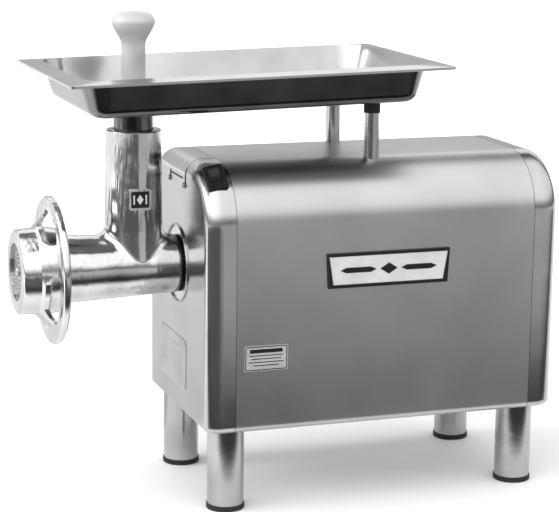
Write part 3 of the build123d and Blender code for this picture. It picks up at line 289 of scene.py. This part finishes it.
def machined_steel():
    """Turned and ground steel, with tool marks round the grinding axis."""
    paint = Paint("machined_steel")
    marks = paint.noise(1.0, 3, (GRAIN, 160, 160))
    cloud = paint.noise(60.0, 2)
    paint.colour(paint.ramp(cloud, grey(0.42), grey(0.58)))
    paint.rough(paint.combine(paint.span(cloud, 0.28, 0.36), paint.span(marks, 0.0, 0.06)))
    return paint.bump((marks, 0.00002), (cloud, 0.0001))


def faced_iron():
    """The gear case's own iron, ground bright on the register that the head seats in."""
    paint = Paint("faced_iron")
    turned = paint.noise(1.0, 3, (30, GRAIN, GRAIN))
    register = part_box("gear_case")[0].x + 6 * MM
    bright = paint.span(paint.parts(paint.place)["X"], 1, 0, register, register + 1 * MM)
    paint.put(paint.shader.inputs["Metallic"], bright)
    skin = paint.ramp(paint.noise(30.0, 3), grey(0.13), grey(0.2))
    paint.colour(paint.mix(bright, skin, paint.ramp(turned, grey(0.6), grey(0.75))))
    paint.rough(paint.combine(paint.span(bright, 0.55, 0.22), paint.span(turned, -0.02, 0.04)))
    return paint.bump((turned, 0.00001))


def grey_iron():
    """Painted casting with a sandy skin, bare at its edges."""
    paint = Paint("grey_iron", metallic=0.0, Coat_Weight=0.15, Coat_Roughness=0.4)
    sand = paint.noise(700.0, 3)
    cloud = paint.noise(30.0, 3)
    skin = paint.ramp(cloud, grey(0.13), grey(0.2))
    paint.colour(paint.mix(paint.edges(0.0012, 0.5), skin, (*grey(0.3), 1)))
    paint.rough(paint.span(sand, 0.42, 0.7))
    return paint.bump((sand, 0.00016), (cloud, 0.0004))


def cast_alloy():
    """Die-cast alloy, left as cast."""
    paint = Paint("cast_alloy", metallic=0.9)
    skin = paint.noise(260.0, 3)
    paint.colour(paint.ramp(skin, grey(0.42), grey(0.56)))
    paint.rough(paint.span(skin, 0.38, 0.55))
    return paint.bump((skin, 0.00008))


def core_steel():
    """Stacked laminations along the motor's axis."""
    paint = Paint("core_steel", metallic=0.85)
    sheets = paint.wave(320.0, 0.6)
    stain = paint.noise(70.0, 3)
    paint.colour(paint.ramp(stain, (0.16, 0.15, 0.14), (0.33, 0.33, 0.34)))
    paint.rough(paint.span(sheets, 0.35, 0.55))
    return paint.bump((sheets, 0.00015))


def winding():
    """Varnished copper wire wound in turns round the axis."""
    paint = Paint("winding", metallic=0.6, Coat_Weight=0.7, Coat_Roughness=0.15)
    turns = paint.wave(200.0, 9.0, "RINGS")
    varnish = paint.noise(55.0, 2)
    shine = paint.combine(turns, varnish, "MULTIPLY")
    paint.colour(paint.ramp(shine, (0.22, 0.07, 0.02), (0.62, 0.27, 0.1), 0.1, 0.6))
    paint.rough(paint.span(varnish, 0.25, 0.45))
    return paint.bump((turns, 0.0005))


def motor_paint():
    """Enamel on a steel shell, chipped a little at its edges."""
    paint = Paint("motor_paint", metallic=0.0, Coat_Weight=0.5, Coat_Roughness=0.2)
    peel = paint.noise(350.0, 2)
    cloud = paint.noise(14.0, 3)
    enamel = paint.ramp(cloud, (0.07, 0.08, 0.09), (0.12, 0.14, 0.16))
    paint.colour(paint.mix(paint.edges(0.0008, 0.4), enamel, (0.35, 0.35, 0.36, 1)))
    paint.rough(paint.span(peel, 0.3, 0.42))
    return paint.bump((peel, 0.00004))


def rubber_black():
    """Moulded rubber: fine matt skin, a trace of dust on top."""
    paint = Paint("rubber_black", metallic=0.0, Specular_IOR_Level=0.35)
    skin = paint.noise(900.0, 2)
    upward = paint.span(paint.parts(paint.normal())["Z"], 0.2, 1.0)
    dust = paint.combine(paint.noise(40.0, 4), upward, "MULTIPLY")
    paint.colour(paint.ramp(dust, grey(0.012), grey(0.05), 0.2, 0.9))
    paint.rough(paint.span(skin, 0.5, 0.75))
    return paint.bump((skin, 0.00005))


def switch_black():
    """Moulded plastic with a spark-eroded texture."""
    paint = Paint("switch_black", metallic=0.0, Specular_IOR_Level=0.25)
    texture = paint.noise(1500.0, 2)
    cloud = paint.noise(90.0, 2)
    paint.colour(paint.ramp(cloud, grey(0.010), grey(0.022)))
    paint.rough(paint.span(texture, 0.28, 0.5))
    return paint.bump((texture, 0.00003))


def stomper_white():
    """Turned food-grade plastic, off-white, with lathe rings and a worn sheen."""
    paint = Paint("stomper_white", metallic=0.0, Subsurface_Weight=0.12, Subsurface_Scale=0.004,
                  Coat_Weight=0.2, Coat_Roughness=0.25)
    rings = paint.noise(1.0, 2, (4, 4, 900))
    stain = paint.noise(35.0, 4)
    paint.colour(paint.ramp(stain, (0.44, 0.435, 0.425), (0.54, 0.535, 0.525)))
    paint.rough(paint.combine(paint.span(stain, 0.3, 0.4), paint.span(rings, 0.0, 0.06)))
    return paint.bump((rings, 0.00004))


def fibre():
    """Pressed fibre: mottled brown."""
    paint = Paint("fibre", metallic=0.0)
    threads = paint.noise(400.0, 4)
    paint.colour(paint.ramp(threads, (0.14, 0.07, 0.035), (0.34, 0.2, 0.11)))
    paint.rough(paint.span(threads, 0.5, 0.75))
    return paint.bump((threads, 0.0001))


def badge_black():
    """Black stove enamel, gone dull."""
    paint = Paint("badge_black", metallic=0.0, Specular_IOR_Level=0.25)
    peel = paint.noise(500.0, 2)
    enamel = paint.ramp(peel, grey(0.006), grey(0.014))
    paint.colour(paint.mix(paint.edges(0.0006, 0.2), enamel, (*grey(0.3), 1)))
    paint.rough(paint.span(peel, 0.35, 0.5))
    return paint.bump((peel, 0.00002))


def badge_silver():
    """Anodised plate with a fine cross grain."""
    paint = Paint("badge_silver", metallic=0.55)
    grain = paint.noise(1.0, 3, (18, 18, GRAIN))
    cloud = paint.noise(40.0, 2)
    paint.colour(paint.ramp(cloud, grey(0.74), grey(0.86)))
    paint.rough(paint.span(grain, 0.38, 0.5))
    return paint.bump((grain, 0.00001))


def label_print():
    """Printed foil with a faint crinkle."""
    paint = Paint("label_print", metallic=0.35)
    crinkle = paint.noise(130.0, 3)
    fade = paint.noise(24.0, 3)
    paint.colour(paint.ramp(fade, grey(0.38), grey(0.52)))
    paint.rough(paint.span(crinkle, 0.36, 0.5))
    return paint.bump((crinkle, 0.00006))


MAKERS = (
    satin_steel, cap_steel, pan_steel, tube_steel, tinned_cast, machined_steel, grey_iron,
    cast_alloy, core_steel, winding, motor_paint, rubber_black, switch_black, stomper_white,
    fibre, badge_black, badge_silver, label_print,
)
materials = {maker.__name__: maker() for maker in MAKERS}
for entry in frame["record"]["subparts"]:
    node = nodes[entry["node"]]
    node.data.materials.clear()
    node.data.materials.append(materials[entry["material_slot"]])
nodes["gear_case"].data.materials[0] = faced_iron()
nodes["pan_collar"].data.materials[0] = collar_steel()

# ---------------------------------------------------------------- marks and plates


def relief(name, shapes, origin, across, up, thick, slot, body, bevel):
    """Raised flat shapes, outlines in millimetres on the plane of across and up, one piece."""
    across, up = Vector(across), Vector(up)
    out = across.cross(up)
    block = bmesh.new()
    for shape in shapes:
        low = [block.verts.new(Vector(origin) + (across * u + up * v) * MM) for u, v in shape]
        side = [block.verts.new(v.co + out * (thick - bevel) * MM) for v in low]
        middle = sum((v.co for v in side), Vector()) / len(side)
        crown = []
        for vert in side:
            inward = (middle - vert.co).normalized() * bevel * MM
            crown.append(block.verts.new(vert.co + inward + out * bevel * MM))
        count = len(shape)
        for k in range(count):
            n = (k + 1) % count
            block.faces.new((low[k], low[n], side[n], side[k]))
            block.faces.new((side[k], side[n], crown[n], crown[k]))
        block.faces.new(crown)
        block.faces.new(low[::-1])
    bmesh.ops.recalc_face_normals(block, faces=block.faces)
    mesh = bpy.data.meshes.new(name)
    block.to_mesh(mesh)
    block.free()
    mesh.materials.append(materials[slot])
    made = bpy.data.objects.new(name, mesh)
    bpy.context.scene.collection.objects.link(made)
    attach(made, body)


def bar(u, v, width, height):
    """Rectangle centred at u, v."""
    return [(u - width / 2, v - height / 2), (u + width / 2, v - height / 2),
            (u + width / 2, v + height / 2), (u - width / 2, v + height / 2)]


def border(width, height, line):
    """Four bars round a rectangle."""
    return [bar(0, height / 2, width, line), bar(0, -height / 2, width, line),
            bar(width / 2, 0, line, height - line), bar(-width / 2, 0, line, height - line)]


def lozenge(u, v, width, height):
    """Rhombus centred at u, v."""
    return [(u - width / 2, v), (u, v - height / 2), (u + width / 2, v), (u, v + height / 2)]


def dart(u, v, length, height, head):
    """Long bar that narrows to a point at each end."""
    tip, neck, half = length / 2, length / 2 - head, height / 2
    return [(u - tip, v), (u - neck, v - half), (u + neck, v - half),
            (u + tip, v), (u + neck, v + half), (u - neck, v + half)]


def rules(u, v, pitch, height, widths):
    """Bars one under another from u, v, where lines of print would be."""
    return [bar(u, v - pitch * row, width, height) for row, width in enumerate(widths)]


def face_centre(node, axis, side):
    """Centre of a node's box face: side 0 is its low face along axis, 1 its high face."""
    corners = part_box(node)
    centre = (corners[0] + corners[1]) / 2
    centre[axis] = corners[side][axis]
    return centre


ACROSS_SIDE, ACROSS_FRONT, UP = (1, 0, 0), (0, -1, 0), (0, 0, 1)
relief("badge_motif", [lozenge(0, 0, 24, 15), dart(-42, 0, 50, 7, 8), dart(42, 0, 50, 7, 8)],
       face_centre("badge_plate", 1, 0), ACROSS_SIDE, UP, 0.5, "badge_black", "casing", 0.2)

label_rules = [*border(55, 30, 1.2), bar(0, 9.5, 44, 5), *rules(0, 3.6, 4.3, 1.2, (46, 40, 47, 34))]
relief("label_rules", label_rules,
       face_centre("side_label", 1, 0), ACROSS_SIDE, UP, 0.1, "badge_black", "casing", 0.03)

# The data plate's box reaches out to its rivets, so its face is found from the cap it lies on.
PLATE_THICK = 0.8 * MM
cap_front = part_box("front_cap")[0].x
plate_face = face_centre("data_plate", 0, 0)
plate_face.x = cap_front - PLATE_THICK
data_rules = [bar(-22, 18, 44, 5), bar(28, 18, 30, 5), *rules(-12, 6, 9, 1.0, (74, 66, 72, 50))]
relief("data_rules", data_rules,
       plate_face, ACROSS_FRONT, UP, 0.1, "machined_steel", "casing", 0.03)

# A dark strip of painted shade lies in the seam at the cover's lower edge, which is found from the
# cover's screws.
SEAM_SHADE_RISE, SEAM_SHADE_SHORTER = 11.8 * MM, 10
screws_low, screws_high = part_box("access_screws")
seam_shade_length = (screws_high.y - screws_low.y) / MM - SEAM_SHADE_SHORTER
relief("cover_seam_shade", [bar(0, 0, seam_shade_length, 1.8)],
       (cap_front, 0, screws_low.z + SEAM_SHADE_RISE), ACROSS_FRONT, UP, 0.5,
       "rubber_black", "casing", 0.1)

EMBLEM_THICK = 0.3
emblem_x, emblem_y, emblem_z = -0.196, -0.0374, 0.399
relief("neck_emblem", [bar(0, 0, 23.2, 21.2)],
       (emblem_x, emblem_y, emblem_z), ACROSS_SIDE, UP, EMBLEM_THICK, "badge_black", "casing", 0.1)
relief("neck_mark", [lozenge(0, 0, 9, 13), bar(-8, 0, 2, 12), bar(8, 0, 2, 12)],
       (emblem_x, emblem_y - EMBLEM_THICK * MM, emblem_z), ACROSS_SIDE, UP, 0.4,
       "badge_silver", "casing", 0.1)

# ---------------------------------------------------------------- floor, world and lights

FLOOR_HALF = 15.0
floor_paint = Paint("studio_floor", metallic=0.0)
floor_paint.colour(floor_paint.ramp(floor_paint.noise(1.5, 2), grey(0.86), grey(0.90)))
floor_paint.rough(floor_paint.span(floor_paint.noise(40.0, 2), 0.6, 0.7))
floor_paint.bump((floor_paint.noise(90.0, 3), 0.0001))


def level_card(name, low, high, height, paint):
    """Level rectangle between two corners, facing up."""
    corners = ((low[0], low[1]), (high[0], low[1]), (high[0], high[1]), (low[0], high[1]))
    shape = bpy.data.meshes.new(name)
    shape.from_pydata([(x, y, height) for x, y in corners], [], [(0, 1, 2, 3)])
    shape.materials.append(paint.material)
    made = bpy.data.objects.new(name, shape)
    bpy.context.scene.collection.objects.link(made)
    return made


floor = level_card(
    "studio_floor", (-FLOOR_HALF, -FLOOR_HALF), (FLOOR_HALF, FLOOR_HALF), 0, floor_paint
)

world = bpy.data.worlds.new("studio")
bpy.context.scene.world = world
world.use_nodes = True
sky = Graph(world.node_tree)
background = sky.tree.nodes["Background"]
background.inputs["Color"].default_value = (1, 1, 1, 1)
direction = sky.parts(sky.add("ShaderNodeTexCoord").outputs["Generated"])


def glow(axis, low, high, start, stop):
    """Brightness that goes smoothly from low to high along one axis of the sky."""
    return sky.span(direction[axis], low, high, start, stop, "SMOOTHSTEP")


# A wide pale ceiling over the front of the object, and a low pale band behind it.
SKY_LEAST = 0.16
ahead_up = sky.combine(glow("Y", 1.65, 0, 0.18, 0.5), glow("Z", 0, 1, 0.03, 0.35), "MULTIPLY")
behind_low = sky.combine(glow("Y", 0, 0.5, 0.3, 0.7), glow("Z", 1, 0, 0.22, 0.5), "MULTIPLY")
brightness = sky.combine(sky.combine(ahead_up, behind_low), SKY_LEAST)
lean = glow("X", 1.35, 0.65, -1, 1)
sky.put(background.inputs["Strength"], sky.combine(brightness, lean, "MULTIPLY"))


def softbox(name, place, target, width, height, watts):
    """Rectangular area light at place, turned to target."""
    light = bpy.data.lights.new(name, "AREA")
    light.shape = "RECTANGLE"
    light.size, light.size_y = width, height
    light.energy = watts
    box = bpy.data.objects.new(name, light)
    box.location = place
    box.rotation_euler = (Vector(target) - Vector(place)).to_track_quat("-Z", "Y").to_euler()
    bpy.context.scene.collection.objects.link(box)


softbox("key", (-2.0, 0.4, 1.7), (0, 0, 0.3), 1.2, 1.2, 16)
softbox("back", (0.0, 4.2, 2.6), (0, 4.2, 0), 9.0, 4.0, 130)

# ---------------------------------------------------------------- cards for the reflections


def floor_card(name, low, high, paint):
    """Card just over the floor, out of the camera's sight, that only mirrors show: a painted
    reflection.
    """
    card = level_card(name, low, high, 1 * MM, paint)
    card.visible_camera = card.visible_diffuse = False
    card.visible_shadow = card.visible_transmission = False


# A dark card in front that only mirrors show: a painted dark reflection. It is clear next to the
# object, and on the right it fades to half with distance.
dark_reflection_paint = Paint("dark_reflection_card", metallic=0.0, Specular_IOR_Level=0.0)
dark_reflection_place = dark_reflection_paint.parts(dark_reflection_paint.place)
near = dark_reflection_paint.span(dark_reflection_place["Y"], 0.0, 1.0, -0.22, -0.34)
far = dark_reflection_paint.span(dark_reflection_place["Y"], 0.5, 1.0, -1.2, -0.5)
left = dark_reflection_paint.span(dark_reflection_place["X"], 0.92, 0.0, -0.1, 0.5)
cover = dark_reflection_paint.combine(near, dark_reflection_paint.combine(far, left, "MAXIMUM"), "MULTIPLY")
dark_reflection_paint.colour(dark_reflection_paint.ramp(dark_reflection_paint.noise(3.0, 2), grey(0.02), grey(0.04)))
dark_reflection_paint.put(dark_reflection_paint.shader.inputs["Alpha"], cover)
floor_card("dark_reflection_card", (-4, -8), (5, -0.2), dark_reflection_paint)

# A glowing card on the left that only mirrors show: a painted bright reflection.
bright_reflection_paint = Paint("bright_reflection_card", metallic=0.0, Emission_Strength=1.3, Emission_Color=(1, 1, 1, 1))
bright_reflection_paint.colour(bright_reflection_paint.ramp(bright_reflection_paint.noise(3.0, 2), grey(0.7), grey(0.8)))
floor_card("bright_reflection_card", (-4, -0.15), (-1.35, 0.9), bright_reflection_paint)

# A thin shade behind: a half-clear dark card that only mirrors show, a painted dark reflection.
shade_paint = Paint("shade", metallic=0.0, Specular_IOR_Level=0.0, Alpha=0.36)
shade_paint.colour(shade_paint.ramp(shade_paint.noise(3.0, 2), grey(0.08), grey(0.12)))
floor_card("shade", (-1.35, 0.25), (0.6, 5.0), shade_paint)

# ---------------------------------------------------------------- camera

CAMERA_PLACE = (-0.83743, -2.41404, 0.84231)
YAW, PITCH, ROLL = radians(19.27), radians(11.83), radians(0.73)
ahead = Vector((sin(YAW) * cos(PITCH), cos(YAW) * cos(PITCH), -sin(PITCH)))
level = Vector((cos(YAW), -sin(YAW), 0))
upward = level.cross(ahead)
right = level * cos(ROLL) + upward * sin(ROLL)
top = upward * cos(ROLL) - level * sin(ROLL)
turn = Matrix((right, top, -ahead)).transposed().to_4x4()
camera_data = bpy.data.cameras.new("camera")
camera_data.sensor_width = 36.0
camera_data.lens = 125.8
camera = bpy.data.objects.new("camera", camera_data)
camera.matrix_world = Matrix.Translation(CAMERA_PLACE) @ turn
bpy.context.scene.collection.objects.link(camera)
bpy.context.scene.camera = camera
bpy.context.scene.view_settings.view_transform = "Standard"
